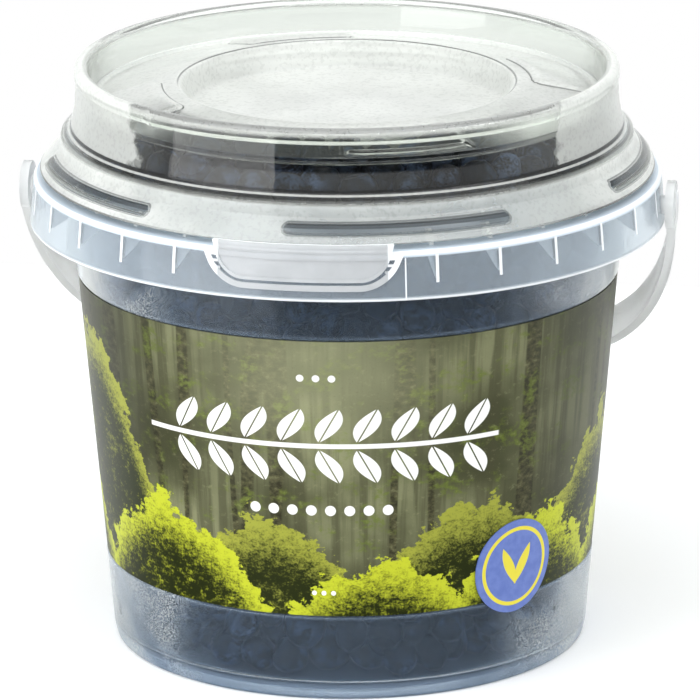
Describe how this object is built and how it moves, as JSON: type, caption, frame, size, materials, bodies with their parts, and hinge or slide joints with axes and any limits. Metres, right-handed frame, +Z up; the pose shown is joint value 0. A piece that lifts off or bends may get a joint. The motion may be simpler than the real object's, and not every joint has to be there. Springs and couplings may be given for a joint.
{
  "type": "lidded plastic pail of blueberries",
  "caption": "Small round plastic pail packed with wild blueberries, with a clear domed lid, tamper collar, printed wrap label and swinging strap handle.",
  "frame": {"origin": "centre of the foot ring, on the surface that the pail stands on", "axes": "+Z up through the lid, -Y towards the tear tab, X along the handle's pivot line"},
  "size_m": [0.1142, 0.11, 0.102],
  "materials": {
    "translucent_plastic": "satin translucent polypropylene",
    "clear_plastic": "clear thin moulded lid, fogged on top",
    "berry_skin": "dark berry skin with a dull bloom",
    "printed_label": "satin printed film, woodland greens",
    "badge_print": "satin printed sticker, blue and yellow",
    "handle_plastic": "satin translucent polypropylene"
  },
  "bodies": {
    "pack": {"pail": "translucent_plastic", "lid": "clear_plastic", "berries": "berry_skin", "label": "printed_label", "badge": "badge_print"},
    "bail": {"handle": "handle_plastic"}
  },
  "joints": [
    {"name": "handle_swing", "type": "hinge", "parent": "pack", "child": "bail", "pos_m": [0, 0, 0.0782], "axis": [1, 0, 0], "range_deg": [0, 250]}
  ]
}
